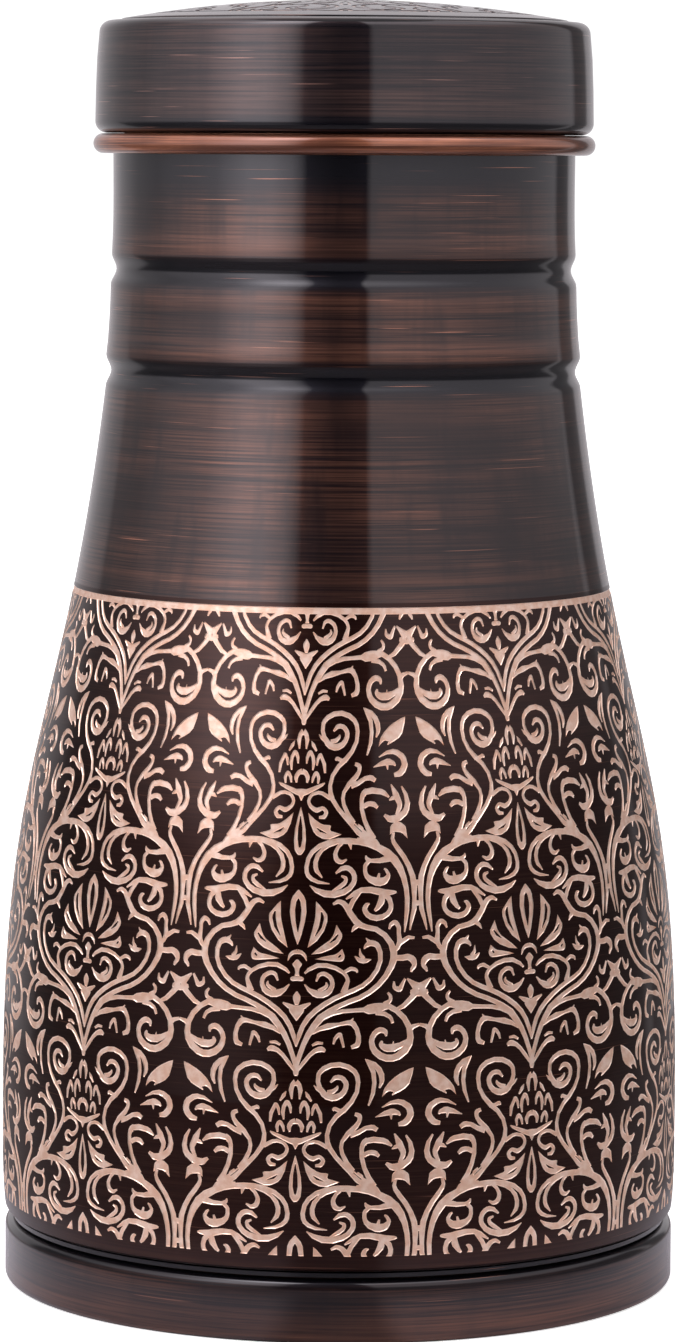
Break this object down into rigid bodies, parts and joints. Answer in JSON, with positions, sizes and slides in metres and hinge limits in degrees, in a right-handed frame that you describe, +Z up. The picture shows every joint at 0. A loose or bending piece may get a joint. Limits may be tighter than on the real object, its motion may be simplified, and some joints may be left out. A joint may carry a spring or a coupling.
{
  "type": "copper water bottle",
  "caption": "Spun copper water jar with a flared belly, grooved neck, rolled rim and foot ring, closed by a domed plug lid that lifts off.",
  "frame": {"origin": "middle of the foot ring's lower face, on the surface that the bottle stands on", "axes": "+Z up along the axis that the bottle is spun about; the pieces are round, so X and Y are alike"},
  "size_m": [0.11, 0.11, 0.2074],
  "materials": {
    "etched_wall": "dark antique copper under clear lacquer, etched with bare copper ornament",
    "etched_top": "dark antique copper under clear lacquer, etched with bare copper ornament",
    "dark_copper": "dark antique copper, brushed round, under clear lacquer",
    "bare_copper": "bare spun copper",
    "rim_wire": "plain drawn wire",
    "silicone": "translucent white silicone"
  },
  "bodies": {
    "jar": {"jar_wall": "etched_wall", "rim_wire": "rim_wire", "foot_ring": "dark_copper", "base_plate": "bare_copper"},
    "lid": {"lid_cap": "dark_copper", "lid_top": "etched_top", "lid_plug": "bare_copper", "lid_seal": "silicone"}
  },
  "joints": [
    {"name": "lid_lift", "type": "slide", "parent": "jar", "child": "lid", "axis": [0, 0, 1], "range_m": [0, 0.045]}
  ]
}
